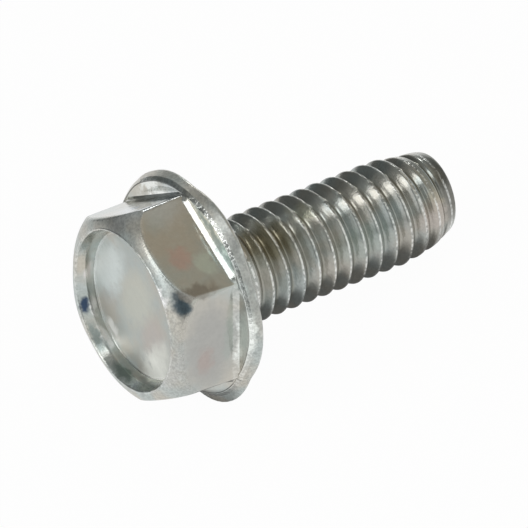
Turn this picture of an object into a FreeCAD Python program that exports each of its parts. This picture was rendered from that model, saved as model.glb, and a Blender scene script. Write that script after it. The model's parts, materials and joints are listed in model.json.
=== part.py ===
import FreeCAD, Part
import math
import os
import Sketcher

# Hexagon flange bolt with a dished head, cold formed in one piece with a rolled M6 x 1 thread.
# Sizes are in millimetres and angles in degrees. The bolt is drawn upright, with its bearing face
# at height 0, its head above and its shank below, and is laid on its side at the end.

drivingSizes = {
    # Hexagon, with a round at its foot
    "acrossFlats": 10.0,
    "headHeight": 4.63,
    "hexFootRound": 0.2,
    # Flange: a thin plate with six faint lobes, one under the middle of each flat. The ledge is
    # what its top keeps outside the round at the hexagon's corners.
    "flangeThickness": 0.9,
    "footLedge": 0.054,
    "lobeOffset": 0.5,
    "flangeTaper": 0.25,
    "bearingInset": 0.12,
    "widestHeight": 0.1,
    # Crown: a cone from inside the flats that rolls over into the corners of the hexagon
    "crownInset": 0.5,
    "crownSlope": 35.0,
    "crownRollRadius": 1.4,
    # Recess in the head: a flared wall that eases in two steps into a flat floor
    "recessRimWidth": 0.14,
    "recessWallFlare": 0.31,
    "recessWallDepth": 0.48,
    "recessFootFlare": 0.25,
    "recessFootDepth": 0.84,
    "recessFloorFlare": 0.25,
    "recessDepth": 0.95,
    # Shank, with a neck under the head and a lead at the tip
    "nominalDiameter": 6.0,
    "crestAllowance": 0.1,
    "shankLength": 15.15,
    "headRelief": 0.2,
    "leadLength": 2.7,
    "leadTaper": 0.27,
    "endChamferLength": 0.75,
    "endChamferWidth": 0.53,
    # Thread
    "pitch": 1.0,
    "neckLength": 1.5,
    "threadRunIn": 0.918,
}
hexagonSides = 6
halfSide = 180 / hexagonSides
halfFlankAngle = 30.0          # the flanks of a metric thread are 60 degrees apart
rootDepthShare = 0.6134        # root below the nominal radius, as a share of the pitch
pitchLineShare = 0.3248        # pitch line below the nominal radius, as a share of the pitch
cutterClearance = 0.15         # how far a cutting outline stands out of what it cuts
lowestCornerAzimuth = 120.0    # the corner of the hexagon that lies lowest at rest

doc = FreeCAD.newDocument("HexFlangeBolt")
sheet = doc.addObject("Spreadsheet::Sheet", "Sizes")
for row, (alias, value) in enumerate(drivingSizes.items(), start=1):
    sheet.set(f"A{row}", alias)
    sheet.set(f"B{row}", str(value))
    sheet.setAlias(f"B{row}", alias)
doc.recompute()


class Size:
    # A number together with the expression that binds it to the sheet
    def __init__(self, value, text):
        self.value = value
        self.text = text

    def combine(self, sign, other, value):
        return Size(value, f"({self.text} {sign} {other.text})")

    def __add__(self, other):
        other = asSize(other)
        return self.combine("+", other, self.value + other.value)

    def __sub__(self, other):
        other = asSize(other)
        return self.combine("-", other, self.value - other.value)

    def __mul__(self, other):
        other = asSize(other)
        return self.combine("*", other, self.value * other.value)

    def __truediv__(self, other):
        other = asSize(other)
        return self.combine("/", other, self.value / other.value)

    def __neg__(self):
        return Size(-self.value, f"(-{self.text})")

    def root(self):
        return Size(math.sqrt(self.value), f"sqrt({self.text})")


def asSize(number):
    return number if isinstance(number, Size) else Size(float(number), repr(float(number)))


def size(alias):
    return Size(float(getattr(sheet, alias)), f"Sizes.{alias}")


def sine(angle):
    angle = asSize(angle)
    return Size(math.sin(math.radians(angle.value)), f"sin({angle.text} * 1 deg)")


def cosine(angle):
    angle = asSize(angle)
    return Size(math.cos(math.radians(angle.value)), f"cos({angle.text} * 1 deg)")


def newSketch(body, name, planeRole, height=None):
    plane = next(f for f in body.Origin.OriginFeatures if f.Role == planeRole)
    sketch = body.newObject("Sketcher::SketchObject", name)
    sketch.AttachmentSupport = [(plane, "")]
    sketch.MapMode = "FlatFace"
    if height is not None:
        sketch.setExpression("AttachmentOffset.Base.z", height.text)
    return sketch


def pinPoint(sketch, geometry, end, corner):
    # Ties one point of the sketch to the sheet by its distances from the origin
    for kind, otherAxis, distance in zip(("DistanceX", "DistanceY"), (-2, -1), corner):
        if abs(distance.value) < 1e-9:
            sketch.addConstraint(Sketcher.Constraint("PointOnObject", geometry, end, otherAxis))
            continue
        forward = distance.value > 0
        ends = (-1, 1, geometry, end) if forward else (geometry, end, -1, 1)
        number = sketch.addConstraint(Sketcher.Constraint(kind, *ends, abs(distance.value)))
        sketch.setExpression(f"Constraints[{number}]", distance.text if forward else (-distance).text)


def arcMiddle(start, finish, radius, bulgesLeft):
    # The middle point of the shorter arc of a given radius between two points
    chord = finish - start
    left = FreeCAD.Vector(-chord.y, chord.x, 0).normalize()
    rise = radius - math.sqrt(radius ** 2 - (chord.Length / 2) ** 2)
    return (start + finish) * 0.5 + left * (rise if bulgesLeft else -rise)


def closedOutline(sketch, corners, arcs=None):
    # Corners are pairs of sizes. arcs gives a side's radius, and whether it bulges to the left.
    corners = [(asSize(x), asSize(y)) for x, y in corners]
    places = [FreeCAD.Vector(x.value, y.value, 0) for x, y in corners]
    sides = []
    for side, start in enumerate(places):
        finish = places[(side + 1) % len(places)]
        if side not in (arcs or {}):
            sides.append((sketch.addGeometry(Part.LineSegment(start, finish)), 1, 2))
            continue
        radius, bulgesLeft = arcs[side]
        middle = arcMiddle(start, finish, radius.value, bulgesLeft)
        drawn = sketch.addGeometry(Part.Arc(start, middle, finish))
        startsFirst = sketch.getPoint(drawn, 1).distanceToPoint(start) < 1e-6
        sides.append((drawn, 1, 2) if startsFirst else (drawn, 2, 1))
        number = sketch.addConstraint(Sketcher.Constraint("Radius", drawn, radius.value))
        sketch.setExpression(f"Constraints[{number}]", radius.text)
    for side, corner in enumerate(corners):
        drawn, startEnd, _ = sides[side]
        before, _, finishEnd = sides[side - 1]
        sketch.addConstraint(Sketcher.Constraint("Coincident", before, finishEnd, drawn, startEnd))
        pinPoint(sketch, drawn, startEnd, corner)


def turned(body, kind, name, sketch):
    feature = body.newObject(kind, name)
    feature.Profile = sketch
    feature.ReferenceAxis = (sketch, ["V_Axis"])
    feature.Angle = 360
    doc.recompute()
    return feature


def roundEdges(body, name, radius, wanted):
    # Rounds the edges of the newest feature that the test picks out
    base = body.Tip
    edges = [f"Edge{number}" for number, edge in enumerate(base.Shape.Edges, start=1) if wanted(edge)]
    feature = body.newObject("PartDesign::Fillet", name)
    feature.Base = (base, edges)
    feature.setExpression("Radius", radius.text)
    doc.recompute()
    return feature


def liesAt(edge, height):
    box = edge.BoundBox
    return abs(box.ZMin - height) < 1e-4 and abs(box.ZMax - height) < 1e-4


def reach(edge):
    # The distance from the bolt's axis to the middle of an edge
    middle = edge.valueAt((edge.FirstParameter + edge.LastParameter) / 2)
    return math.hypot(middle.x, middle.y)


def hexagonCorner(outside=0):
    # How far from the axis the corners are of a hexagon that lies outside the flats by some width
    return (size("acrossFlats") / 2 + outside) / cosine(halfSide)


def crestRadius():
    return size("nominalDiameter") / 2 - size("crestAllowance")


def flangeTopLobe():
    # The radius of the lobes of the flange's top, which leave the hexagon's foot its ledge
    valley = hexagonCorner(size("hexFootRound")) + size("footLedge")
    aside = size("lobeOffset") * sine(halfSide)
    along = valley - size("lobeOffset") * cosine(halfSide)
    return (along * along + aside * aside).root()


def flangeOutline(sketch, lobe):
    # Six arcs whose centres lie off the axis, towards the middles of the flats
    aside = size("lobeOffset") * sine(halfSide)
    valley = size("lobeOffset") * cosine(halfSide) + (lobe * lobe - aside * aside).root()
    corners = [(valley * cosine(2 * halfSide * n), valley * sine(2 * halfSide * n))
               for n in range(hexagonSides)]
    closedOutline(sketch, corners, {n: (lobe, False) for n in range(hexagonSides)})


def addFlange(body):
    widestLobe = flangeTopLobe() + size("flangeTaper")
    bearing = newSketch(body, "bearingOutline", "XY_Plane")
    flangeOutline(bearing, widestLobe - size("bearingInset"))
    widest = newSketch(body, "widestOutline", "XY_Plane", size("widestHeight"))
    flangeOutline(widest, widestLobe)
    top = newSketch(body, "flangeTopOutline", "XY_Plane", size("flangeThickness"))
    flangeOutline(top, flangeTopLobe())
    flange = body.newObject("PartDesign::AdditiveLoft", "flange")
    flange.Profile = bearing
    flange.Sections = [widest, top]
    flange.Ruled = True
    doc.recompute()


def addHexagon(body):
    sketch = newSketch(body, "hexagonOutline", "XY_Plane")
    corner = hexagonCorner()
    closedOutline(sketch, [(corner * cosine(2 * halfSide * n), corner * sine(2 * halfSide * n))
                           for n in range(hexagonSides)])
    hexagon = body.newObject("PartDesign::Pad", "hexagon")
    hexagon.Profile = sketch
    hexagon.setExpression("Length", "Sizes.headHeight")
    doc.recompute()
    thickness, apothem = size("flangeThickness").value, size("acrossFlats").value / 2
    roundEdges(body, "hexagonFoot", size("hexFootRound"),
               lambda edge: liesAt(edge, thickness) and abs(reach(edge) - apothem) < 1e-3)


def cutCrown(body):
    sketch = newSketch(body, "crownOutline", "XZ_Plane")
    corner = hexagonCorner()
    roll, slope = size("crownRollRadius"), size("crownSlope")
    start, top = size("acrossFlats") / 2 - size("crownInset"), size("headHeight")
    rollStart = corner - roll * (asSize(1) - sine(slope))
    rollTop = top - (rollStart - start) * sine(slope) / cosine(slope)
    rollFoot = rollTop - roll * cosine(slope)
    outside = corner + cutterClearance
    above = top + cutterClearance
    closedOutline(sketch, [(start, top), (rollStart, rollTop), (corner, rollFoot), (outside, rollFoot),
                           (outside, above), (start, above)], {1: (roll, True)})
    turned(body, "PartDesign::Groove", "crown", sketch)


def cutRecess(body):
    sketch = newSketch(body, "recessOutline", "XZ_Plane")
    top = size("headHeight")
    floor = top - size("recessDepth")
    above = top + cutterClearance
    mouth = size("acrossFlats") / 2 - size("crownInset") - size("recessRimWidth")
    wallFoot = mouth - size("recessWallFlare")
    floorFoot = wallFoot - size("recessFootFlare")
    closedOutline(sketch, [(0, above), (mouth, above), (mouth, top),
                           (wallFoot, top - size("recessWallDepth")),
                           (floorFoot, top - size("recessFootDepth")),
                           (floorFoot - size("recessFloorFlare"), floor), (0, floor)])
    turned(body, "PartDesign::Groove", "recess", sketch)


def addShank(body):
    sketch = newSketch(body, "shankOutline", "XZ_Plane")
    crest, length, relief = crestRadius(), size("shankLength"), size("headRelief")
    lead = crest - size("leadTaper")
    inFlange = size("flangeThickness") / 2
    closedOutline(sketch, [(0, inFlange), (crest + relief, inFlange), (crest + relief, 0), (crest, -relief),
                           (crest, -(length - size("leadLength"))),
                           (lead, -(length - size("endChamferLength"))),
                           (lead - size("endChamferWidth"), -length), (0, -length)])
    turned(body, "PartDesign::Revolution", "shank", sketch)


def cutThread(body):
    # A groove of the true metric section, wound from below the tip up to the neck
    sketch = newSketch(body, "threadGroove", "XZ_Plane")
    pitch, nominal = size("pitch"), size("nominalDiameter") / 2
    flank = sine(halfFlankAngle) / cosine(halfFlankAngle)
    root = nominal - pitch * rootDepthShare
    outside = crestRadius() + cutterClearance
    pitchLine = nominal - pitch * pitchLineShare
    rootHalf = pitch / 4 - (pitchLine - root) * flank
    outsideHalf = pitch / 4 + (outside - pitchLine) * flank
    middle = -(size("shankLength") + size("threadRunIn"))
    closedOutline(sketch, [(root, middle - rootHalf), (outside, middle - outsideHalf),
                           (outside, middle + outsideHalf), (root, middle + rootHalf)])
    thread = body.newObject("PartDesign::SubtractiveHelix", "thread")
    thread.Profile = sketch
    thread.ReferenceAxis = (sketch, ["V_Axis"])
    thread.Mode = "pitch-height-angle"
    thread.setExpression("Pitch", pitch.text)
    thread.setExpression("Height", (size("shankLength") + size("threadRunIn") - size("neckLength")).text)
    thread.Angle = 0
    thread.LeftHanded = False
    doc.recompute()


def layDown(body):
    # At rest the bolt touches the ground with its flange's edge and the last full turn of its lead.
    flangeReach = flangeTopLobe() + size("flangeTaper") + size("lobeOffset") * cosine(halfSide)
    drop = flangeReach.value - (crestRadius() - size("leadTaper")).value
    slope = math.degrees(math.atan2(drop, sheet.shankLength - sheet.endChamferLength))
    turn = FreeCAD.Rotation(FreeCAD.Vector(0, 0, 1), 180 - lowestCornerAzimuth)
    tip = FreeCAD.Rotation(FreeCAD.Vector(0, 1, 0), slope - 90)
    body.Placement = FreeCAD.Placement(FreeCAD.Vector(0, 0, 0), tip.multiply(turn))
    doc.recompute()
    box = body.Shape.optimalBoundingBox(False)
    shift = FreeCAD.Vector(-box.Center.x, -box.Center.y, -box.ZMin)
    body.Placement = FreeCAD.Placement(shift, tip.multiply(turn))
    doc.recompute()


bolt = doc.addObject("PartDesign::Body", "FlangeBolt")
bolt.Label = "flange_bolt"
addFlange(bolt)
addHexagon(bolt)
cutCrown(bolt)
cutRecess(bolt)
addShank(bolt)
cutThread(bolt)
layDown(bolt)

for item in doc.Objects:
    if "Invalid" in item.State or "Error" in item.State:
        raise RuntimeError(f"{item.Name} failed: {item.State}")
if bolt.Shape.isNull() or not bolt.Shape.isValid() or len(bolt.Shape.Solids) != 1:
    raise RuntimeError(f"{bolt.Label} isn't one valid solid")

os.makedirs("parts", exist_ok=True)
bolt.Shape.exportStep(f"parts/{bolt.Label}.step")
print(f"{bolt.Label}: volume {bolt.Shape.Volume:.1f} mm3, box {bolt.Shape.optimalBoundingBox(False)}")
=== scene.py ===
import bpy
import json
import math
from mathutils import Matrix, Vector


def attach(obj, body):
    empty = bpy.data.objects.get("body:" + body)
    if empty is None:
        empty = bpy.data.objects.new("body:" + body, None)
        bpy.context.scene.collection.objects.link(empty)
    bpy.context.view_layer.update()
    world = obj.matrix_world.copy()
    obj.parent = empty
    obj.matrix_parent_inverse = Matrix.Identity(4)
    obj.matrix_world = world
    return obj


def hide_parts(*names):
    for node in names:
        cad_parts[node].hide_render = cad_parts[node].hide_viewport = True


# Hexagon flange bolt, zinc plated, lying on a pale floor.
# The bolt is modelled upright in millimetres, with its bearing face at height 0 and its head above,
# and is laid in place at the end.

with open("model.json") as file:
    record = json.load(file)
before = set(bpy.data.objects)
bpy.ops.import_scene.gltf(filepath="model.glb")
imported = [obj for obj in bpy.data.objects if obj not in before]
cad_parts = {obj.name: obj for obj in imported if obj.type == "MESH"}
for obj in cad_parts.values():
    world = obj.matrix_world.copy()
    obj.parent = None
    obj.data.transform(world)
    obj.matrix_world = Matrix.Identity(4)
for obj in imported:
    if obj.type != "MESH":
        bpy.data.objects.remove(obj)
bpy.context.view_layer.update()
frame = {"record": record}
print("frame loaded")


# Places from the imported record

millimetre = 0.001
halfSide = 30.0         # degrees from a corner of the hexagon to the middle of a flat


def mountOf(name):
    found = next(m for m in frame["record"]["mounts"] if m["name"] == name)
    return Vector(found["pos_m"]), Vector(found["axis"]).normalized()


def boltPlacement():
    # From the upright bolt in millimetres to its place in the frame, in metres
    onAxis, towardTip = mountOf("thread")
    onBearing, _ = mountOf("bearing_face")
    up = -towardTip
    base = onAxis + up * (onBearing - onAxis).dot(up)
    flatMiddle = (onBearing - base).normalized()
    across = up.cross(flatMiddle)
    corner = flatMiddle * math.cos(math.radians(halfSide)) - across * math.sin(math.radians(halfSide))
    turn = Matrix((corner, up.cross(corner), up)).transposed().to_4x4()
    return Matrix.Translation(base) @ turn @ Matrix.Scale(millimetre, 4)


laidDown = boltPlacement()


# Nodes

class Wire:
    # A socket that can be reckoned with: an expression on wires adds its Math nodes
    def __init__(self, bench, socket):
        self.bench, self.socket = bench, socket

    def math(self, operation, *others):
        values = {place: value for place, value in enumerate((self,) + others)}
        return self.bench.add("ShaderNodeMath", {"operation": operation}, values)

    def swapped(self, operation, other):
        return self.bench.add("ShaderNodeMath", {"operation": operation}, {0: other, 1: self})

    def __add__(self, other):
        return self.math("ADD", other)

    def __sub__(self, other):
        return self.math("SUBTRACT", other)

    def __mul__(self, other):
        return self.math("MULTIPLY", other)

    def __truediv__(self, other):
        return self.math("DIVIDE", other)

    def __neg__(self):
        return self.math("MULTIPLY", -1.0)

    def __radd__(self, other):
        return self.swapped("ADD", other)

    def __rsub__(self, other):
        return self.swapped("SUBTRACT", other)

    def __rmul__(self, other):
        return self.swapped("MULTIPLY", other)

    def __rtruediv__(self, other):
        return self.swapped("DIVIDE", other)

    def clamped(self):
        wire = self.math("ADD", 0.0)
        wire.socket.node.use_clamp = True
        return wire

    def other(self, output):
        # Another output of the same node
        return Wire(self.bench, self.socket.node.outputs[output])


class Bench:
    # Adds nodes to one tree: settings first, then the values or wires of the sockets
    def __init__(self, tree):
        self.tree = tree

    def add(self, kind, settings=None, values=None, output=0):
        node = self.tree.nodes.new(kind)
        for name, setting in (settings or {}).items():
            setattr(node, name, setting)
        for place, value in (values or {}).items():
            if isinstance(value, Wire):
                self.tree.links.new(value.socket, node.inputs[place])
            elif value is not None:
                node.inputs[place].default_value = value
        return Wire(self, node.outputs[output]) if len(node.outputs) else node

    def tinted(self, share, first, second):
        return self.add("ShaderNodeMix", {"data_type": "RGBA", "clamp_factor": True},
                        {0: share, 6: first, 7: second}, 2)

    def vector(self, operation, first, second=None, output=0):
        return self.add("ShaderNodeVectorMath", {"operation": operation}, {0: first, 1: second}, output)

    def scaled(self, color, factor):
        return self.add("ShaderNodeVectorMath", {"operation": "SCALE"}, {0: color, 3: factor})

    def noise(self, place, fineness, detail, output=0):
        return self.add("ShaderNodeTexNoise", None,
                        {"Vector": place, "Scale": fineness, "Detail": detail}, output)

    def eased(self, wire, low, high, fromValue=0.0, toValue=1.0):
        # Rises smoothly from one value to another while the wire goes from low to high
        return self.add("ShaderNodeMapRange", {"interpolation_type": "SMOOTHSTEP"},
                        {0: wire, 1: low, 2: high, 3: fromValue, 4: toValue})


def emptied(owner):
    # A bench on the node tree of a material or a world, with its nodes cleared away
    owner.use_nodes = True
    owner.node_tree.nodes.clear()
    return Bench(owner.node_tree)


def placed(name, data):
    # A new object in the scene
    made = bpy.data.objects.new(name, data)
    bpy.context.scene.collection.objects.link(made)
    return made


# Curves that the outlines are drawn with

def roundAbout(pairs, azimuth):
    # Smooth course once round the axis through pairs of azimuth and value
    azimuth %= 360
    later = next((n for n, pair in enumerate(pairs) if pair[0] > azimuth), 0)
    (a0, v0), (a1, v1) = pairs[later - 1], pairs[later]
    share = ((azimuth - a0) % 360) / ((a1 - a0) % 360)
    return v0 + (v1 - v0) * share * share * (3 - 2 * share)


def bent(start, knee, finish, count=6):
    # Points of a smooth bend from start to finish that heads for the knee
    points = []
    for step in range(count + 1):
        t = step / count
        points.append(tuple((1 - t) ** 2 * a + 2 * t * (1 - t) * b + t * t * c
                            for a, b, c in zip(start, knee, finish)))
    return points


def straight(start, finish, shares):
    return [tuple(a + (b - a) * share for a, b in zip(start, finish)) for share in shares]


def softLeast(first, second, width):
    # The lesser of two numbers, with the corner between them rounded
    ease = max(width - abs(first - second), 0) / width
    return min(first, second) - ease * ease * width / 4


# Bolt blank: head, flange and a plain shank whose rows already follow the thread's helix

head = {
    "halfFlats": 5.04,
    "lowCornerRound": 0.1,          # of the hexagon's corners at the flange
    "highCornerRound": 0.6,         # and further up
    "lowCornerHeight": 0.9,
    "highCornerHeight": 3.2,
    "cornerGrowth": 1.3,            # the rounds go on growing to this share of the way up
    "cornerBulge": ((27, 0.0), (57, 0.2), (87, 0.0), (237, 0.0)),      # one corner is fuller
    "wallRows": (0.03, 0.2, 0.4, 0.6, 0.8, 0.97),      # rows of points, as shares of the way down
    "footRise": 0.28,               # bevel between the hexagon's wall and the flange
    "footReach": 0.19,
    "footLeast": 0.05,              # share of its reach that is left even where the lip is near
    "footCourse": ((0, 0), (0.03, 0.1), (0.1, 0.22), (0.5, 0.62), (0.84, 0.93), (0.94, 0.985), (1, 1)),
    "footWear": 0.18,
    "crownReach": 5.7735,           # outermost reach, radius and middle height of the crown's round
    "crownRadius": 1.73,
    "crownFoot": 2.98,
    "crownStart": 4.58,             # reach where the crown comes down from the rim
    "crownRows": (0.04, 0.15, 0.3, 0.45, 0.6, 0.75, 0.88, 0.96),
    "crownEdgeRound": 0.24,         # of the edge between crown and flats
    "crownEdgeLeast": 0.03,         # added to the stretch that the edge's round takes
    "rimPeak": (4.49, 4.7),         # the recess's rim and wall, each pair a reach and a height
    "wallTop": (4.43, 4.6),
    "wallFoot": (4.23, 4.16),
    "wallKnee": (4.195, 4.07),
    "recessRows": (0.12, 0.5, 0.88),
    "rimWear": 0.3,
    "ring": (4.12, 3.66),           # fine groove between the floor and the wall of the recess
    "ringGroove": ((-0.06, -0.035), (-0.045, -0.02), (-0.03, -0.032), (-0.01, -0.022), (0, 0),
                   (0.012, 0.03)),
    "floorHeight": 3.6,
    "floorRings": (0.7, 1.4, 2.1, 2.8),
    "floorBend": (3.6, 3.88),       # where the floor begins to rise, and the knee of its bend
}
flange = {
    # The lip was rolled unevenly, so these go once round in pairs of azimuth and value
    "lipReach": ((0, 6.16), (15, 6.2), (30, 6.14), (60, 5.92), (90, 6.08), (120, 5.88), (150, 5.93),
                 (165, 5.93), (181, 5.9), (189, 5.96), (197, 6.05), (210, 6.2), (225, 6.15), (240, 6.0),
                 (255, 6.02), (270, 6.04), (285, 5.98), (300, 6.0), (315, 6.1), (330, 6.13), (345, 6.2)),
    "lipHeight": ((0, 0.9), (30, 0.88), (90, 0.8), (150, 0.75), (180, 0.78), (210, 0.76), (240, 0.74),
                  (270, 0.77), (300, 0.8), (330, 0.85)),
    # How worn the lip is; beside one flat, where it is strongest, it is a painted highlight
    "lipWearAndSheen": ((0, 0.2), (200, 0.35), (240, 0.4), (256, 0.9), (285, 0.9), (300, 0.3)),
    # How dark the seam inside the lip is
    "seam": ((0, 0.8), (30, 0.8), (90, 0.5), (150, 0.9), (180, 1.0), (190, 0.6), (205, 0.1), (285, 0.0),
             (300, 0.5), (315, 0.9), (340, 1.0)),
    # How far the flange bulges out over its lobes
    "widestExtra": ((8, 0.26), (34, 0.0), (60, 0.0), (120, 0.14), (180, 0.0), (240, 0.0), (300, 0.0),
                    (332, 0.0), (352, 0.2)),
    "seamDepth": 0.012,
    "seamStart": (0.045, 0.3),      # its distance from the lip, at most, and as a share of the shelf
    "seamMiddle": (0.03, 0.2),
    "shelfHeight": 0.8,             # of the flange's upper face beside the hexagon
    "shelfLeast": 0.06,             # what the bevel at the foot leaves of it where the lip is near
    "shelfWidth": 0.03,             # and what the lip leaves of it
    "shelfRows": (0.3, 0.6),
    "lipBevel": (0.2, 0.19),        # how far the rolled lip runs outwards and down
    "lipInside": 0.7,               # share of the bevel inside the lip's reach
    "lipTurn": (0.015, 0.003),      # first rounding over, outwards and down
    "lipCourse": ((0.2, 0.1), (0.3, 0.2), (0.6, 0.52), (0.86, 0.8), (0.95, 0.91)),
    "lipFootWear": 0.7,             # share of its wear and painted highlight at the lip's lower edge
    "bandRows": (0.08, 0.3, 0.6, 0.85, 1.0),
    "widestPeak": 6.4,
    "widestValley": 6.14,
    "valleySoft": 4.0,              # degrees over which the valleys between the lobes are softened
    "lobeOffset": 1.72,
    "widestHeight": 0.1,
    "bandFoot": 0.12,               # height above the widest place where the band round the flange ends
    "bandInset": (0.03, 0.1),       # of its foot from the widest place, and at most from the lip
    "bandKnee": 0.005,
    "bearingInset": 0.12,           # rounded edge of the bearing face
    "bearingRise": 0.02,
    "bearingSteps": (0.03, 0.5),
    "bearingRings": (4.5, 3.4),
}
shank = {
    "crestRadius": 2.9,
    "reliefCourse": ((0.23, 0.0), (0.2, -0.02), (0.02, -0.19), (0.0, -0.23)),     # under the flange
    "firstRing": -0.3,              # height of the last even ring, above the helix
    "pitch": 1.0,
    "grooveHeight": -0.068,         # of the groove's middle at azimuth 0, give or take whole pitches
    "turns": 15,
    "length": 15.38,
    "leadStart": 12.4,              # the crest tapers from here to the chamfer
    "leadRadius": 2.5,
    "leadRound": 0.03,
    "chamferStart": 14.6,
    "chamferRound": 0.06,
    "endRadius": 2.25,
    "endRound": 0.25,
    "endInset": 0.12,
    "crestHalf": 0.06,              # half the worn width of the crest, in pitches
    "crestWear": 0.65,
}
gritOf = {
    # How rough each stretch of the surface is
    "floor": 0.1, "ring": 0.2, "recessWall": 0.3, "rim": 0.6, "crown": 1.0, "crownEdge": 0.7,
    "flats": 0.15, "seam": 0.3, "lip": 0.2, "lipFoot": 0.5, "band": 1.0, "bandFoot": 0.8,
    "bearing": 0.3, "shank": 0.4,
}
cornerSteps = (0, 0.6, 1.3, 2.1, 3.1, 4.3, 5.8, 7.6, 10, 13, 17, 21, 25.5)
threadRows = (0, 0.05, 0.085, 0.115, 0.145, 0.18, 0.24, 0.31, 0.365, 0.40, 0.43, 0.465, 0.5,
              0.535, 0.57, 0.60, 0.635, 0.69, 0.76, 0.82, 0.855, 0.885, 0.915, 0.95)


def columnAzimuths():
    # Once round from the middle of a flat, downwards, close together at the hexagon's corners
    sector = [halfSide, *reversed(cornerSteps)] + [-step for step in cornerSteps[1:]]
    return [azimuth - 2 * halfSide * side for side in range(6) for azimuth in sector]


def fromCorner(azimuth):
    # Degrees between an azimuth and the nearest corner of the hexagon
    return abs((azimuth + halfSide) % (2 * halfSide) - halfSide)


def hexagonReach(azimuth, halfFlats, cornerRound):
    # Distance from the axis to a hexagon with rounded corners
    phi, toFlat = math.radians(fromCorner(azimuth)), math.radians(halfSide)
    cornerCentre = (halfFlats - cornerRound) / math.cos(toFlat)
    tangent = math.atan2(cornerRound * math.sin(toFlat), cornerCentre + cornerRound * math.cos(toFlat))
    if phi >= tangent:
        return halfFlats / math.cos(toFlat - phi)
    return cornerCentre * math.cos(phi) + math.sqrt(cornerRound ** 2 - (cornerCentre * math.sin(phi)) ** 2)


def wallReach(azimuth, height, outside=0.0):
    # Distance from the axis to the hexagon's wall, whose corners grow rounder towards the crown
    s = head
    share = (height - s["lowCornerHeight"]) / (s["highCornerHeight"] - s["lowCornerHeight"])
    share = min(max(share, 0.0), s["cornerGrowth"])
    cornerRound = s["lowCornerRound"] + (s["highCornerRound"] - s["lowCornerRound"]) * share
    bulge = roundAbout(s["cornerBulge"], azimuth) * min(share, 1.0)
    return hexagonReach(azimuth, s["halfFlats"] + outside, cornerRound + outside) + bulge


def widestReach(azimuth):
    # Distance from the axis to the flange's widest outline, lobed beside each flat
    f = flange
    away, soft = fromCorner(azimuth), f["valleySoft"]
    softened = math.hypot(away, soft) - soft * (1 - away / halfSide)
    peak, valley, offset = f["widestPeak"], f["widestValley"], f["lobeOffset"]

    def onLobe(degrees):
        psi = math.radians(degrees)
        return offset * math.cos(psi) + math.sqrt((peak - offset) ** 2 - (offset * math.sin(psi)) ** 2)

    share = (onLobe(max(halfSide - softened, 0.0)) - onLobe(halfSide)) / (peak - onLobe(halfSide))
    return valley + (peak - valley) * share + roundAbout(f["widestExtra"], azimuth)


def crownHeight(reach, azimuth):
    # Height of the crown's round over a distance from the axis
    s = head
    middle = s["crownReach"] - s["crownRadius"] + roundAbout(s["cornerBulge"], azimuth)
    return s["crownFoot"] + math.sqrt(max(s["crownRadius"] ** 2 - (reach - middle) ** 2, 0.0))


def crownEdge(azimuth):
    # Reach and height where the crown meets the wall, found from a first guess in small steps
    height, steps = 4.2, 30
    for _ in range(steps):
        height = (height + crownHeight(wallReach(azimuth, height), azimuth)) / 2
    return wallReach(azimuth, height), height


def laid(points, grit, seam=0.0, wear=0.0):
    # Rows of the profile: reach and height, then how rough, dark and worn the surface is there
    return [(*point, gritOf[grit], seam, wear) for point in points]


def recessRows(crownStart):
    # From the floor over the fine groove and up the wall to the rim
    s = head
    floor, (bendStart, bendKnee), (ringReach, ringHeight) = s["floorHeight"], s["floorBend"], s["ring"]
    groove = [(ringReach + out, ringHeight + rise) for out, rise in s["ringGroove"]]
    return (laid([(reach, floor) for reach in s["floorRings"]], "floor")
            + laid(bent((bendStart, floor), (bendKnee, floor), groove[0], 5), "floor")
            + laid(groove[1:-1], "ring")
            + laid(bent(groove[-1], s["wallKnee"], s["wallFoot"]), "ring")
            + laid(straight(s["wallFoot"], s["wallTop"], s["recessRows"]), "recessWall")
            + laid(bent(s["wallTop"], s["rimPeak"], crownStart), "rim", 0.0, s["rimWear"]))


def crownRows(azimuth, crownStart):
    # Over the crown and its rounded edge to the top of the hexagon's wall
    s, step = head, 0.02
    flatReach, edge = crownEdge(azimuth)
    steepness = (crownHeight(flatReach - step, azimuth) - crownHeight(flatReach, azimuth)) / step
    incline = math.atan(steepness)
    soft = s["crownEdgeRound"] * math.tan((math.pi / 2 - incline) / 2) + s["crownEdgeLeast"]
    lastReach = flatReach - soft * math.cos(incline)
    reaches = [crownStart[0] + (lastReach - crownStart[0]) * share for share in s["crownRows"]]
    crownEnd = (lastReach, crownHeight(lastReach, azimuth))
    wallTop = (wallReach(azimuth, edge - soft), edge - soft)
    return (laid([(reach, crownHeight(reach, azimuth)) for reach in reaches], "crown")
            + laid(bent(crownEnd, (flatReach, edge), wallTop), "crownEdge"))


def wallRows(azimuth, topHeight):
    # Down the hexagon's wall and over the bevel at its foot, which is cut short where the lip is near
    s, f = head, flange
    footTop = f["shelfHeight"] + s["footRise"]
    heights = [topHeight + (footTop - topHeight) * share for share in s["wallRows"]]
    lipStart = roundAbout(f["lipReach"], azimuth) - f["lipBevel"][0] * f["lipInside"]
    room = lipStart - f["shelfLeast"] - wallReach(azimuth, footTop)
    bevel = s["footReach"] * min(max(room / s["footReach"], s["footLeast"]), 1.0)
    foot = [(wallReach(azimuth, footTop, bevel * out), footTop - s["footRise"] * fall)
            for out, fall in s["footCourse"]]
    return (laid([(wallReach(azimuth, height), height) for height in heights], "flats")
            + laid(foot, "flats", 0.0, s["footWear"]))


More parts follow.
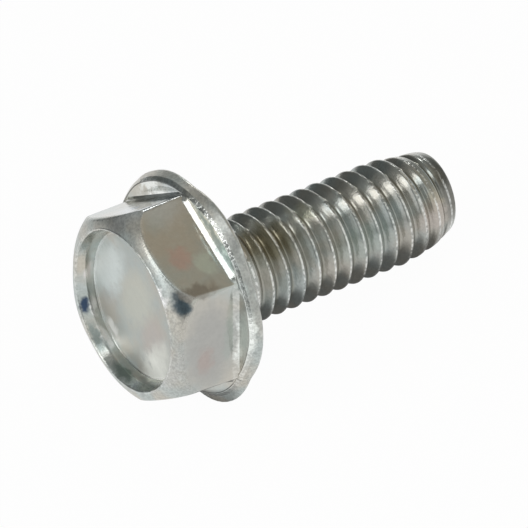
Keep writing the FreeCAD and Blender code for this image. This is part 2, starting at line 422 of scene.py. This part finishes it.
def lipRows(azimuth, foot):
    # Over the shelf and the seam, and down the rolled lip
    f = flange
    thick, shelf, (lipOut, lipDrop) = roundAbout(f["lipHeight"], azimuth), f["shelfHeight"], f["lipBevel"]
    lipReach = roundAbout(f["lipReach"], azimuth) - lipOut * f["lipInside"]
    lipStart = (max(lipReach, foot[0] + f["shelfWidth"]), thick)
    width = lipStart[0] - foot[0]
    near, over = (min(most, width * share) for most, share in (f["seamStart"], f["seamMiddle"]))
    beforeSeam = (lipStart[0] - near, thick + (shelf - thick) * near / width)
    seam, wear = roundAbout(f["seam"], azimuth), roundAbout(f["lipWearAndSheen"], azimuth)
    turnOut, turnDown = f["lipTurn"]
    lip = [(lipStart[0] + lipOut * out, thick - lipDrop * fall) for out, fall in f["lipCourse"]]
    return (laid(straight(foot, lipStart, f["shelfRows"]) + [beforeSeam], "flats")
            + laid([(lipStart[0] - over, thick - f["seamDepth"] * seam), lipStart], "seam", seam)
            + laid([(lipStart[0] + turnOut, thick - turnDown)], "seam")
            + laid(lip, "lip", 0.0, wear)
            + laid([(lipStart[0] + lipOut, thick - lipDrop)], "lipFoot", 0.0, wear * f["lipFootWear"]))


def bandRows(azimuth, bandStart):
    # Down the band round the flange, under it and in to the neck
    f, widest = flange, widestReach(azimuth)
    fromWidest, fromLip = f["bandInset"]
    bandFoot = (max(widest - fromWidest, bandStart[0] - fromLip), f["widestHeight"] + f["bandFoot"])
    bearing, knee = widest - f["bearingInset"], (widest + f["bandKnee"], f["widestHeight"])
    under = [bearing - step for step in f["bearingSteps"]] + list(f["bearingRings"])
    neck = [(shank["crestRadius"] + out, height) for out, height in shank["reliefCourse"]]
    return (laid(straight(bandStart, bandFoot, f["bandRows"]), "band")
            + laid(bent(bandFoot, knee, (bearing, f["bearingRise"]))[1:], "bandFoot")
            + laid([(reach, 0.0) for reach in under] + neck, "bearing"))


def headProfile(azimuth):
    # Rows from the middle of the recess to the neck, each stretch from where the last one ended
    crownStart = (head["crownStart"], crownHeight(head["crownStart"], azimuth))
    rows = recessRows(crownStart) + crownRows(azimuth, crownStart)
    rows += wallRows(azimuth, rows[-1][1])
    rows += lipRows(azimuth, rows[-1][:2])
    return rows + bandRows(azimuth, rows[-1][:2])


def shankOutline(along):
    # Reach and height of the blank's outline, first down the shank and then inwards over its end
    s = shank
    leadShare = (along - s["leadStart"]) / (s["chamferStart"] - s["leadStart"])
    lead = s["crestRadius"] - (s["crestRadius"] - s["leadRadius"]) * leadShare
    slope = (s["leadRadius"] - s["endRadius"]) / (s["length"] - s["chamferStart"])
    chamfer = s["leadRadius"] - slope * (along - s["chamferStart"])
    reach = softLeast(softLeast(s["crestRadius"], lead, s["leadRound"]), chamfer, s["chamferRound"])
    if along > s["length"]:
        reach = s["endRadius"] - (along - s["length"])
    return reach, -softLeast(along, s["length"], s["endRound"])


class Blank:
    # Points and faces of the blank, and the grit, seam and wear of each point
    def __init__(self):
        self.columns = columnAzimuths()
        self.points, self.faces, self.finish = [], [], []

    def point(self, azimuth, reach, height, grit=gritOf["shank"], seam=0.0, wear=0.0):
        angle = math.radians(azimuth)
        self.points.append((reach * math.cos(angle), reach * math.sin(angle), height))
        self.finish.append((grit, seam, wear))
        return len(self.points) - 1

    def ring(self, rows):
        return [self.point(azimuth, *row) for azimuth, row in zip(self.columns, rows)]


def neighbours(ring):
    # Each point of a ring with the next one, once round
    return zip(ring, ring[1:] + ring[:1])


def headRings(blank):
    # One ring for each row of the profile, down to the neck
    middle = blank.point(0, 0, head["floorHeight"], gritOf["floor"])
    rings = [blank.ring(rows) for rows in zip(*(headProfile(azimuth) for azimuth in blank.columns))]
    rings.append(blank.ring([(shank["crestRadius"], shank["firstRing"])] * len(blank.columns)))
    blank.faces += [(middle, following, first) for first, following in neighbours(rings[0])]
    for above, below in zip(rings, rings[1:]):
        blank.faces += [(a, b, d, c) for (a, b), (c, d) in zip(neighbours(above), neighbours(below))]
    return rings[-1]


def shankStrip(blank, firstCrest):
    # One long strip, a pitch wide, wound down the shank, so that each row keeps its place on the thread.
    # Its points are found by their column along the strip and their row across it.
    pitch, turns, columns = shank["pitch"], shank["turns"], blank.columns
    count, rowsPerTurn = len(columns), len(threadRows)
    strip = {}
    for i in range(count * (turns + 1) + 1):
        turn, c = divmod(i, count)
        azimuth = columns[c] - 360 * turn
        start = pitch * (columns[0] - azimuth) / 360 - firstCrest
        for j in range(rowsPerTurn if i <= count * turns else 1):
            wear = shank["crestWear"] if abs(threadRows[j] - 0.5) > 0.5 - shank["crestHalf"] else 0.0
            strip[i, j] = blank.point(azimuth, *shankOutline(start + pitch * threadRows[j]), wear=wear)
        if i >= count:
            strip[i - count, rowsPerTurn] = strip[i, 0]
    for i in range(count * turns):
        for j in range(rowsPerTurn):
            blank.faces.append((strip[i, j], strip[i + 1, j], strip[i + 1, j + 1], strip[i, j + 1]))
    return strip


def joinShank(blank, neck, strip, firstCrest):
    # The strip's first edge meets the last ring of the neck, its last edge a ring on the end face
    s, count, rowsPerTurn = shank, len(blank.columns), len(threadRows)
    last, final = count * s["turns"], count * (s["turns"] + 1)
    for c in range(count - 1):
        blank.faces.append((neck[c], neck[c + 1], strip[c + 1, 0], strip[c, 0]))
    firstEdge = [strip[0, j] for j in range(rowsPerTurn + 1)]
    blank.faces.append((neck[-1], neck[0], *firstEdge, strip[count - 1, 0]))
    endReach = shankOutline(s["pitch"] * (s["turns"] + 1) - firstCrest)[0] - s["endInset"]
    endRing = blank.ring([(endReach, -s["length"])] * count)
    endMiddle = blank.point(0, 0, -s["length"])
    for c in range(1, count):
        n = (c + 1) % count
        blank.faces.append((strip[last + c, 0], strip[last + c + 1, 0], endRing[n], endRing[c]))
    lastEdge = [strip[last, j] for j in range(rowsPerTurn - 1, 0, -1)]
    ends = (strip[last, 0], strip[last + 1, 0], endRing[1], endRing[0], strip[final, 0])
    blank.faces.append(ends + tuple(lastEdge))
    blank.faces += [(endMiddle, first, following) for first, following in neighbours(endRing)]


def blankMesh():
    blank = Blank()
    firstCrest = shank["grooveHeight"] + shank["pitch"] * (blank.columns[0] / 360 - 0.5)
    neck = headRings(blank)
    strip = shankStrip(blank, firstCrest)
    joinShank(blank, neck, strip, firstCrest)
    mesh = bpy.data.meshes.new("flangeBolt")
    mesh.from_pydata(blank.points, [], blank.faces)
    mesh.polygons.foreach_set("use_smooth", [True] * len(mesh.polygons))
    for name, values in zip(("grit", "seam", "wear"), zip(*blank.finish)):
        mesh.attributes.new(name, "FLOAT", "POINT").data.foreach_set("value", values)
    mesh.validate()
    return mesh


# Thread: a node tree that rolls a metric thread into whatever blank it is given

thread = {
    "Pitch": shank["pitch"],
    "Groove Height": shank["grooveHeight"],
    "Root Radius": 2.387,
    "Half Root": 0.03,
    "Flank Rise": 1.22,
    "Root Round": 0.2,
    "Crest Round": 0.12,
    "Start Height": -1.9,           # the thread begins here and is full one Run In further down
    "Run In": 0.8,
    "Crest Wander": 0.012,
    "Wander Fineness": 1.6,
    "Blank Top": -0.1,              # everything above keeps its shape
    "Lean": 0.0185,                 # sideways for each millimetre below Lean Pivot
    "Lean Pivot": -10.0,
    "Lean Start": -0.2,
    "Lean Full": -1.2,
    "Tip Lean": 0.14,               # and how far the tip lies aside from that
    "Tip Start": -13.9,
    "Tip Full": -15.2,
}
leanToward = math.radians(337.5)
leastReach = 0.001                  # both keep a division from running into nothing
leastDepth = 0.05


def threadTree():
    tree = bpy.data.node_groups.new("rollThread", "GeometryNodeTree")
    tree.is_modifier = True
    tree.interface.new_socket("Geometry", in_out="INPUT", socket_type="NodeSocketGeometry")
    for name in thread:
        tree.interface.new_socket(name, in_out="INPUT", socket_type="NodeSocketFloat")
    tree.interface.new_socket("Finish", in_out="INPUT", socket_type="NodeSocketMaterial")
    tree.interface.new_socket("Geometry", in_out="OUTPUT", socket_type="NodeSocketGeometry")
    bench = Bench(tree)
    given = bench.add("NodeGroupInput")
    size = {name: given.other(name) for name in thread}
    place = bench.add("GeometryNodeInputPosition")
    parts = bench.add("ShaderNodeSeparateXYZ", None, {0: place})
    x, y, z = (parts.other(axis) for axis in range(3))

    # How far in the surface goes, groove and crest with their rounds
    reach = bench.add("ShaderNodeMath", {"operation": "SQRT"}, {0: x * x + y * y})
    around = bench.add("ShaderNodeMath", {"operation": "ARCTAN2"}, {0: y, 1: x}) / math.tau
    turnsUp = (z - size["Groove Height"]) / size["Pitch"] - around
    fromGroove = turnsUp.math("PINGPONG", 0.5) * size["Pitch"]
    flank = size["Root Radius"] + (fromGroove - size["Half Root"]) * size["Flank Rise"]
    groove = flank.math("SMOOTH_MAX", size["Root Radius"], size["Root Round"])
    wander = bench.add("ShaderNodeTexNoise", {"noise_dimensions": "3D"},
                       {"Vector": place, "Scale": size["Wander Fineness"], "Detail": 2.0,
                        "Roughness": 0.5})
    crest = reach - wander * size["Crest Wander"]
    rolledReach = groove.math("SMOOTH_MIN", crest, size["Crest Round"])
    depth = bench.eased(z, size["Start Height"] - size["Run In"], size["Start Height"], 1.0, 0.0)
    newReach = reach + (rolledReach - reach) * depth

    # The shank's slight lean
    onNeck = bench.eased(z, size["Lean Full"], size["Lean Start"], 1.0, 0.0)
    onTip = bench.eased(z, size["Tip Full"], size["Tip Start"], 1.0, 0.0)
    lean = (size["Lean Pivot"] - z) * size["Lean"] * onNeck + size["Tip Lean"] * onTip
    scale = newReach / reach.math("MAXIMUM", leastReach)
    moved = bench.add("ShaderNodeCombineXYZ", None, {0: x * scale + lean * math.cos(leanToward),
                                                     1: y * scale + lean * math.sin(leanToward), 2: z})
    below = bench.add("FunctionNodeCompare", {"data_type": "FLOAT", "operation": "LESS_THAN"},
                      {0: z, 1: size["Blank Top"]})
    onShank = bench.add("GeometryNodeSetPosition", None,
                        {"Geometry": given.other("Geometry"), "Selection": below, "Position": moved})
    rolledIn = ((reach - newReach) / (reach - size["Root Radius"]).math("MAXIMUM", leastDepth)).clamped()
    kept = bench.add("GeometryNodeStoreNamedAttribute", {"data_type": "FLOAT", "domain": "POINT"},
                     {"Geometry": onShank, "Name": "rolledDepth", "Value": rolledIn})
    real = bench.add("GeometryNodeRealizeInstances", None, {0: kept})
    dressed = bench.add("GeometryNodeSetMaterial", None,
                        {"Geometry": real, "Material": given.other("Finish")})
    bench.add("NodeGroupOutput", None, {0: dressed})
    return tree


def rollThread(blank, finish):
    # Runs the thread's tree on the blank and keeps the plain mesh that comes out
    modifier = blank.modifiers.new("thread", "NODES")
    modifier.node_group = threadTree()
    values = dict(thread, Finish=finish)
    for item in modifier.node_group.interface.items_tree:
        if item.item_type == "SOCKET" and item.in_out == "INPUT" and item.name in values:
            modifier[item.identifier] = values[item.name]
    graph = bpy.context.evaluated_depsgraph_get()
    mesh = bpy.data.meshes.new_from_object(blank.evaluated_get(graph), depsgraph=graph)
    blank.modifiers.remove(modifier)
    blank.data = mesh


# Zinc plating

plating = {
    "cool": (0.50, 0.545, 0.53, 1),         # the two tones that the passivation drifts between
    "warm": (0.55, 0.53, 0.475, 1),
    "washed": 0.9,                          # how far the edges of the stains and of the painted light are washed out
    "patchEdge": (1.25, 0.45),              # half widths from its middle where a stain or a patch of painted light begins and is full
    "mottling": 0.06,                       # how much each pattern lightens and darkens the tone
    "gritMottling": 0.3,
    "gritSpecks": 0.22,
    "drawnMarks": 0.06,
    "wornFlakes": 0.8,
    "flakeLevel": 0.6,                      # flakes above this lighten, the others darken
    "shankTone": 0.81,                      # how much darker the rolled shank is
    "shankTop": (-0.2, -0.8),               # heights between which its tone begins
    "groove": (0.22, 0.22, 0.18, 1),        # painted shade at the thread's root
    "grooveFrom": 0.15,                     # share of the thread's depth where the painted shade begins
    "grooveShade": 0.85,
    "wornAndSheen": (0.93, 0.95, 0.93, 1),          # bare bright edges, brighter in flakes and patches, and on the lip beside one flat a painted highlight
    "bareAndSheen": 0.15,
    "bareFlakes": 0.35,
    "barePatches": 0.4,
    "seamTone": (0.03, 0.03, 0.03, 1),
    "roughness": 0.12,
    "gritRoughness": 0.22,
    "mottleRoughness": 0.1,
    "gritMilk": 0.3,                        # how far rough plating scatters light as a milky film does
    # The recess's drawn floor: its middle and half widths
    "dish": ((0, 0, 3.58), (head["ring"][0], head["ring"][0], 0.25)),
    "dishEdge": (1.03, 0.97),
    "dishMilk": 0.58,
    "dishRoughness": 0.2,
    "drawnToward": -119.3,                  # direction of the marks left by drawing
    "drawnStretch": (0.5, 7.0, 1.0),
    "relief": 0.01 * millimetre,            # depth of the bumps, and the share of each pattern in it
    "waveRelief": 1.2,
    "grainRelief": 0.12,
    "gritRelief": 0.8,
    "drawnRelief": 0.25,
}
patterns = {
    # Fineness and detail, and for some the levels between which the pattern goes from none to full
    "drift": (0.45, 3.0, (0.35, 0.65)),
    "wash": (1.6, 3.0, None),
    "mottle": (3.2, 4.0, None),
    "speck": (8.0, 2.0, (0.38, 0.62)),
    "marks": (1.0, 3.0, None),
    "flake": (5.5, 3.0, (0.43, 0.57)),
    "patch": (0.9, 2.0, (0.42, 0.58)),
    "waves": (1.5, 2.0, None),
    "grain": (9.0, 2.0, None),
}
stainsAndPaintedLight = {
    # Plating stains and painted reflections, highlights and shade: middle in millimetres on the upright
    # bolt, half widths, colour, strength
    "floorCool": ((2.9, 0.8, 3.6), (1.5, 2.2, 0.35), (0.76, 0.82, 0.81), 0.9),
    "floorBeige": ((0.3, 0.0, 3.6), (1.5, 2.2, 0.35), (0.64, 0.64, 0.56), 0.7),
    "floorPink": ((-1.9, 0.6, 3.6), (1.2, 1.6, 0.35), (0.57, 0.51, 0.48), 0.6),
    # Painted light on the recess floor: floorLow lightens it where it mirrors the dark wall, floorEdge is
    # a painted reflection and floorShine a painted highlight
    "floorLow": ((-3.2, 1.3, 3.6), (1.3, 1.9, 0.35), (0.80, 0.81, 0.75), 0.9),
    "floorEdge": ((-3.04, 2.24, 3.6), (1.3, 1.3, 0.35), (0.97, 0.98, 0.92), 0.9),
    "floorShine": ((0.81, 3.49, 3.6), (0.7, 0.35, 0.35), (1.0, 1.0, 0.97), 0.9),
    # Painted reflections on the recess wall, with painted highlights in wallShineLeft and wallShineRight
    "wallBeige": ((3.9, 1.2, 4.35), (0.4, 1.6, 0.25), (0.62, 0.58, 0.50), 0.6),
    "wallPale": ((3.6, 1.8, 4.0), (0.35, 0.9, 0.3), (0.85, 0.80, 0.78), 0.8),
    "wallNavy": ((2.5, 3.4, 4.42), (0.5, 0.5, 0.28), (0.05, 0.08, 0.14), 1.0),
    "wallTeal": ((0.9, 4.2, 4.4), (0.9, 0.5, 0.28), (0.30, 0.36, 0.35), 0.8),
    "wallGreen": ((-1.7, 3.8, 4.3), (1.0, 0.8, 0.35), (0.22, 0.27, 0.24), 0.9),
    "wallGrey": ((-3.3, 2.6, 4.35), (0.9, 0.9, 0.3), (0.36, 0.40, 0.37), 0.7),
    "wallShineLeft": ((2.2, 3.35, 3.95), (0.6, 0.5, 0.24), (0.92, 0.92, 0.92), 0.9),
    "wallShineRight": ((0.6, 4.0, 4.0), (0.9, 0.4, 0.24), (0.92, 0.92, 0.92), 0.9),
    # Painted light on the crown: crownShade is painted shade, crownTeal a painted reflection and
    # crownShine a painted highlight
    "crownShade": ((3.1, -3.7, 4.45), (0.8, 0.8, 0.4), (0.34, 0.35, 0.35), 0.6),
    "crownTeal": ((-2.8, -4.75, 4.15), (0.8, 0.75, 0.6), (0.06, 0.09, 0.11), 0.97),
    "crownShine": ((-1.7, -4.1, 4.62), (0.8, 0.45, 0.2), (0.95, 0.95, 0.95), 0.9),
    "crownPale": ((-4.6, -0.9, 4.4), (0.5, 2.2, 0.4), (0.58, 0.59, 0.57), 0.7),
    # Painted reflections on the hexagon's flats in flatRed, flatOlive, upperFlat, lowerFlat and lowerPink,
    # and painted shade in flatShade and upperCorner
    "flatRed": ((-0.45, -5.04, 2.9), (0.75, 0.25, 0.75), (0.62, 0.46, 0.42), 0.75),
    "flatOlive": ((-1.15, -5.04, 1.75), (0.8, 0.25, 0.7), (0.62, 0.72, 0.66), 0.7),
    "flatShade": ((-2.6, -5.04, 3.2), (0.6, 0.25, 1.6), (0.30, 0.28, 0.25), 0.85),
    "upperFlat": ((3.5, -4.1, 2.4), (2.2, 2.2, 2.0), (0.64, 0.68, 0.70), 0.9),
    "upperCorner": ((2.91, -5.04, 2.4), (0.22, 0.22, 1.7), (0.46, 0.46, 0.44), 0.7),
    "upperBlue": ((3.82, -3.46, 2.71), (0.3, 0.3, 0.3), (0.42, 0.52, 0.72), 0.8),
    "lowerFlat": ((-4.5, -2.2, 2.6), (2.0, 4.2, 1.9), (0.42, 0.42, 0.40), 0.95),
    "lowerPink": ((-4.9, -1.6, 2.83), (0.6, 0.9, 0.6), (0.44, 0.36, 0.33), 0.6),
    # Painted light at the feet of the flats: upperFoot and lensLower are painted highlights, lensMiddle is
    # painted shade and lowerGreen a painted reflection
    "upperFoot": ((4.46, -2.57, 0.95), (1.7, 1.7, 0.2), (0.90, 0.92, 0.90), 0.85),
    "lensLower": ((-5.0, -3.0, 0.75), (1.0, 2.6, 0.3), (0.90, 0.94, 0.90), 0.9),
    "lensMiddle": ((0.0, -5.55, 0.74), (3.0, 0.4, 0.25), (0.22, 0.25, 0.24), 0.95),
    "lowerGreen": ((-4.5, -2.2, 1.35), (0.9, 2.2, 0.35), (0.40, 0.43, 0.40), 0.7),
    "bearing": ((0.0, 0.0, -0.1), (7.5, 7.5, 0.35), (0.85, 0.86, 0.84), 0.9),
    "flangeEdge": ((-2.0, -5.5, 0.3), (5.0, 2.4, 0.3), (0.42, 0.43, 0.41), 0.8),
    "neckOlive": ((-0.2, -2.7, -3.6), (1.5, 1.1, 1.9), (0.28, 0.25, 0.16), 0.85),
    "shankOlive": ((0.8, -2.65, -6.3), (0.8, 0.8, 0.9), (0.48, 0.47, 0.34), 0.6),
    "shankGreen": ((-1.9, -1.9, -9.0), (1.0, 1.0, 2.2), (0.50, 0.57, 0.53), 0.6),
    "tipYellow": ((-1.2, -2.45, -13.9), (0.8, 0.8, 0.6), (0.58, 0.50, 0.36), 0.6),
    "tipBeige": ((-2.0, -1.9, -13.8), (1.0, 1.0, 1.3), (0.62, 0.56, 0.51), 0.7),
    # tipShade is painted shade on the tip's chamfer
    "tipShade": ((-0.6, -2.2, -15.1), (2.6, 1.8, 0.75), (0.22, 0.22, 0.20), 0.95),
}


def zincPlating():
    s = plating
    material = bpy.data.materials.new("zincPlating")
    bench = emptied(material)

    def pattern(name, place, output=0):
        fineness, detail, levels = patterns[name]
        wire = bench.noise(place, fineness, detail, output)
        return bench.eased(wire, *levels) if levels else wire

    def fromMiddle(place, middle, halfWidths):
        # How far a place is from a middle, counted in half widths
        away = bench.vector("SUBTRACT", place, middle)
        counted = bench.vector("MULTIPLY", away, [1 / width for width in halfWidths])
        return bench.vector("LENGTH", counted, None, 1)

    upright = laidDown.inverted()
    coords = bench.add("ShaderNodeTexCoord", None, None, 3)
    onBolt = bench.add("ShaderNodeMapping", {"vector_type": "POINT"},
                       {"Vector": coords, "Location": upright.to_translation(),
                        "Rotation": upright.to_euler(), "Scale": upright.to_scale()})
    grit, seam, wear, rolledDepth = (bench.add("ShaderNodeAttribute", {"attribute_name": name}, None, 2)
                                     for name in ("grit", "seam", "wear", "rolledDepth"))

    # Large soft tones, then the stains and the patches of painted light, with their edges washed out
    color = bench.tinted(pattern("drift", onBolt), s["cool"], s["warm"])
    wash = bench.vector("SUBTRACT", pattern("wash", onBolt, 1), (0.5, 0.5, 0.5))
    washed = bench.vector("ADD", onBolt, bench.scaled(wash, s["washed"]))
    for middle, halfWidths, tone, strength in stainsAndPaintedLight.values():
        share = bench.eased(fromMiddle(washed, middle, halfWidths), *s["patchEdge"], 0.0, strength)
        color = bench.tinted(share, color, (*tone, 1))

    # Fine mottling, grit, marks left by drawing and flakes on worn edges
    mottle = pattern("mottle", onBolt)
    speck = pattern("speck", onBolt)
    drawn = bench.add("ShaderNodeMapping", {"vector_type": "POINT"},
                      {"Vector": onBolt, "Rotation": (0, 0, math.radians(s["drawnToward"])),
                       "Scale": s["drawnStretch"]})
    marks = pattern("marks", drawn)
    flake = pattern("flake", onBolt)
    factor = (1.0 + (mottle - 0.5) * (s["mottling"] + grit * s["gritMottling"])
              + (speck - 0.5) * grit * s["gritSpecks"] + (marks - 0.5) * s["drawnMarks"])
    factor = factor * (1.0 + (flake - s["flakeLevel"]) * wear * s["wornFlakes"])
    color = bench.scaled(color, factor)

    # The darker shank, painted shade in the thread's root, bare edges and the lip's painted highlight, the
    # seam inside the lip
    along = bench.add("ShaderNodeSeparateXYZ", None, {0: onBolt}, 2)
    color = bench.scaled(color, bench.eased(along, *s["shankTop"], 1.0, s["shankTone"]))
    rootShade = bench.eased(rolledDepth, s["grooveFrom"], 1.0, 0.0, s["grooveShade"])
    color = bench.tinted(rootShade, color, s["groove"])
    # Bare bright edges, which on the lip also stand in for a painted highlight
    bareAndSheen = wear * (s["bareAndSheen"] + flake * s["bareFlakes"] + pattern("patch", onBolt) * s["barePatches"])
    color = bench.tinted(bareAndSheen, color, s["wornAndSheen"])
    color = bench.tinted(seam, color, s["seamTone"])

    # The drawn floor of the recess is milky and a little rougher
    dished = bench.eased(fromMiddle(onBolt, *s["dish"]), *s["dishEdge"])
    metallic = 1.0 - grit * s["gritMilk"] - dished * s["dishMilk"]
    roughness = s["roughness"] + grit * s["gritRoughness"] + (mottle - 0.5) * s["mottleRoughness"]
    roughness = (roughness.clamped() + dished * s["dishRoughness"]).clamped()

    grainShare = s["grainRelief"] + grit * s["gritRelief"]
    height = (pattern("waves", onBolt) * s["waveRelief"] + pattern("grain", onBolt) * grainShare
              + marks * s["drawnRelief"] + flake * wear)
    bump = bench.add("ShaderNodeBump", None, {"Strength": 1.0, "Distance": s["relief"], "Height": height})
    shader = bench.add("ShaderNodeBsdfPrincipled", None,
                       {"Base Color": color, "Metallic": metallic, "Roughness": roughness, "Normal": bump})
    bench.add("ShaderNodeOutputMaterial", None, {"Surface": shader})
    return material


bolt = placed("flangeBolt", blankMesh())
print("blank made:", len(bolt.data.polygons), "faces")
rollThread(bolt, zincPlating())
bolt.data.transform(laidDown)
bolt.data.update()
print("thread rolled:", len(bolt.data.polygons), "faces")
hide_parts("flange_bolt")
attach(bolt, "root")


# Studio

studio = {
    "cameraAim": (-0.0015439, -0.0018821, 0.0064556),
    "cameraAzimuth": -25.7227,
    "cameraElevation": 39.5303,
    "cameraRoll": 15.2576,
    "cameraDistance": 0.537037,
    "cameraClips": (0.05, 5.0),
    "lens": 696.82,
    "sensorWidth": 36.0,
    "lampAim": (-0.001, 0, 0.006),
    "floorReach": 0.09,
    "floorSides": 96,
    "floorTone": (0.9, 0.9, 0.9, 1),
    "cameraWhite": 0.97,                    # how white the floor is for the camera, and for the metal
    "glareWhite": 0.85,
    "shade": 0.13,                          # how bright the floor under the shank is for the metal
    "shadeAcross": (-0.0001, 0.0024),       # middle and half width
    "shadeAlong": (0.0008, 0.0072),
    "shadeEdge": 0.0028,
    "sweep": (0.95, 0.95, 0.95, 1),         # the white sweep low down, and the unlit room above it
    "unlit": (0.26, 0.27, 0.26, 1),
    "horizon": (-0.03, 0.12),
    "glows": (
        # Parts of the room: direction, cosine where it begins and where it is full, colour
        ((0.3, -0.9, 0.3), 0.45, 0.85, (0.85, 0.86, 0.84)),
        ((-0.38, 0.88, 0.22), 0.78, 0.93, (0.10, 0.11, 0.11)),
        ((0.686, -0.122, 0.718), 0.80, 0.95, (0.46, 0.42, 0.35)),
        ((-0.934, -0.12, 0.334), 0.92, 0.97, (1.2, 1.2, 1.2)),
    ),
}
lamps = {
    # The width of a lamp runs along crosswise, as nearly as it can
    "key": {"toward": (-0.61, 0.05, 0.79), "distance": 0.25, "crosswise": (0.389, 0.899, 0.205),
            "width": 0.08, "height": 0.37, "radiance": 2.2},
    "back": {"toward": (0.614, 0.646, 0.453), "distance": 0.25, "crosswise": (1, 0, 0),
             "width": 0.035, "height": 0.035, "radiance": 9.0},
}


def makeCamera():
    s = studio
    azimuth, elevation = math.radians(s["cameraAzimuth"]), math.radians(s["cameraElevation"])
    level = Vector((math.cos(azimuth), math.sin(azimuth), 0))
    back = Vector((math.sin(azimuth) * math.cos(elevation), -math.cos(azimuth) * math.cos(elevation),
                   math.sin(elevation)))
    roll = math.radians(s["cameraRoll"])
    right = level * math.cos(roll) - back.cross(level) * math.sin(roll)
    turn = Matrix((right, back.cross(right), back)).transposed().to_4x4()
    data = bpy.data.cameras.new("camera")
    data.lens = s["lens"]
    data.sensor_width = s["sensorWidth"]
    data.clip_start, data.clip_end = s["cameraClips"]
    camera = placed("camera", data)
    camera.matrix_world = Matrix.Translation(Vector(s["cameraAim"]) + back * s["cameraDistance"]) @ turn
    bpy.context.scene.camera = camera


def softbox(name, toward, distance, width, height, radiance, crosswise):
    data = bpy.data.lights.new(name, "AREA")
    data.shape = "RECTANGLE"
    data.size, data.size_y = width, height
    data.energy = radiance * math.pi * width * height
    direction = Vector(toward).normalized()
    tall = direction.cross(Vector(crosswise)).normalized()
    turn = Matrix((tall.cross(direction), tall, direction)).transposed().to_4x4()
    lamp = placed(name, data)
    lamp.matrix_world = Matrix.Translation(Vector(studio["lampAim"]) + direction * distance) @ turn


def paleFloor():
    # Nearly white for the camera, and for the metal white apart from the shade under the shank
    s = studio
    material = bpy.data.materials.new("paleFloor")
    bench = emptied(material)
    rays = bench.add("ShaderNodeLightPath")
    toCamera, toGloss, throughGlass = (rays.other(name) for name in (
        "Is Camera Ray", "Is Glossy Ray", "Is Transmission Ray"))
    place = bench.add("ShaderNodeTexCoord", None, None, 3)
    along = bench.add("ShaderNodeSeparateXYZ", None, {0: place})
    beside = [bench.eased((wire - middle).math("ABSOLUTE"), reach, reach + s["shadeEdge"])
              for wire, (middle, reach) in ((along.other(1), s["shadeAcross"]), (along, s["shadeAlong"]))]
    shaded = 1.0 - beside[0].math("MAXIMUM", beside[1])
    glare = toGloss + throughGlass
    lit = bench.add("ShaderNodeBsdfDiffuse", None, {"Color": s["floorTone"]})
    white = bench.add("ShaderNodeEmission", None,
                      {"Color": (1, 1, 1, 1), "Strength": 1.0 - glare * (1.0 - s["shade"]) * shaded})
    share = (toCamera * s["cameraWhite"] + glare * s["glareWhite"]).clamped()
    mixed = bench.add("ShaderNodeMixShader", None, {0: share, 1: lit, 2: white})
    bench.add("ShaderNodeOutputMaterial", None, {"Surface": mixed})
    return material


def makeFloor():
    reach, sides = studio["floorReach"], studio["floorSides"]
    turns = [math.tau * n / sides for n in range(sides)]
    points = [(0, 0, 0)] + [(reach * math.cos(turn), reach * math.sin(turn), 0) for turn in turns]
    mesh = bpy.data.meshes.new("floor")
    mesh.from_pydata(points, [], [(0, 1 + n, 1 + (n + 1) % sides) for n in range(sides)])
    mesh.materials.append(paleFloor())
    placed("floor", mesh)


def makeRoom():
    # White all round for the camera. The metal sees the white sweep low down, and the unlit room with
    # its glows above.
    world = bpy.data.worlds.new("room")
    bpy.context.scene.world = world
    bench = emptied(world)
    toCamera = bench.add("ShaderNodeLightPath").other("Is Camera Ray")
    direction = bench.add("ShaderNodeTexCoord", None, None, 0)
    up = bench.add("ShaderNodeSeparateXYZ", None, {0: direction}, 2)
    light = bench.tinted(bench.eased(up, *studio["horizon"]), studio["sweep"], studio["unlit"])
    for toward, widest, narrowest, tone in studio["glows"]:
        nearness = bench.vector("DOT_PRODUCT", direction, Vector(toward).normalized(), 1)
        light = bench.tinted(bench.eased(nearness, widest, narrowest), light, (*tone, 1))
    room = bench.add("ShaderNodeBackground", None, {"Color": light, "Strength": 1.0})
    white = bench.add("ShaderNodeBackground", None, {"Color": (1, 1, 1, 1), "Strength": 1.0})
    mixed = bench.add("ShaderNodeMixShader", None, {0: toCamera, 1: room, 2: white})
    bench.add("ShaderNodeOutputWorld", None, {"Surface": mixed})


makeCamera()
makeFloor()
makeRoom()
for name, lamp in lamps.items():
    softbox(name, **lamp)
bpy.context.scene.view_settings.view_transform = "Standard"
print("studio ready")
